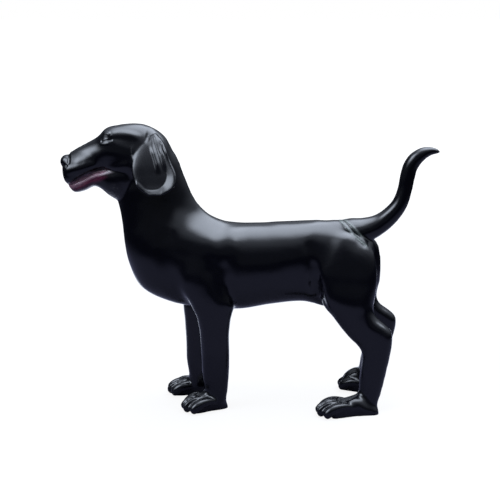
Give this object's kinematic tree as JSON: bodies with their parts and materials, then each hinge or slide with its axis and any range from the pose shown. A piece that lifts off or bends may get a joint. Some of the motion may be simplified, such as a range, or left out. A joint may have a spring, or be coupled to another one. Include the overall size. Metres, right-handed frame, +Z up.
{
  "type": "dog statue",
  "caption": "Life-size hollow fibreglass hound in gloss black, standing on its own feet with hanging ears, mouth a little open and tail curved up behind.",
  "frame": {"origin": "on the floor, at the centre of the dog's box as seen from above", "axes": "+Z up; the dog faces -X; its left side is towards -Y"},
  "size_m": [1.0396, 0.3096, 0.8003],
  "materials": {
    "black_enamel": "polished black gelcoat, mauve and maroon paint inside the lips"
  },
  "bodies": {
    "root": {"dog": "black_enamel"}
  },
  "joints": []
}
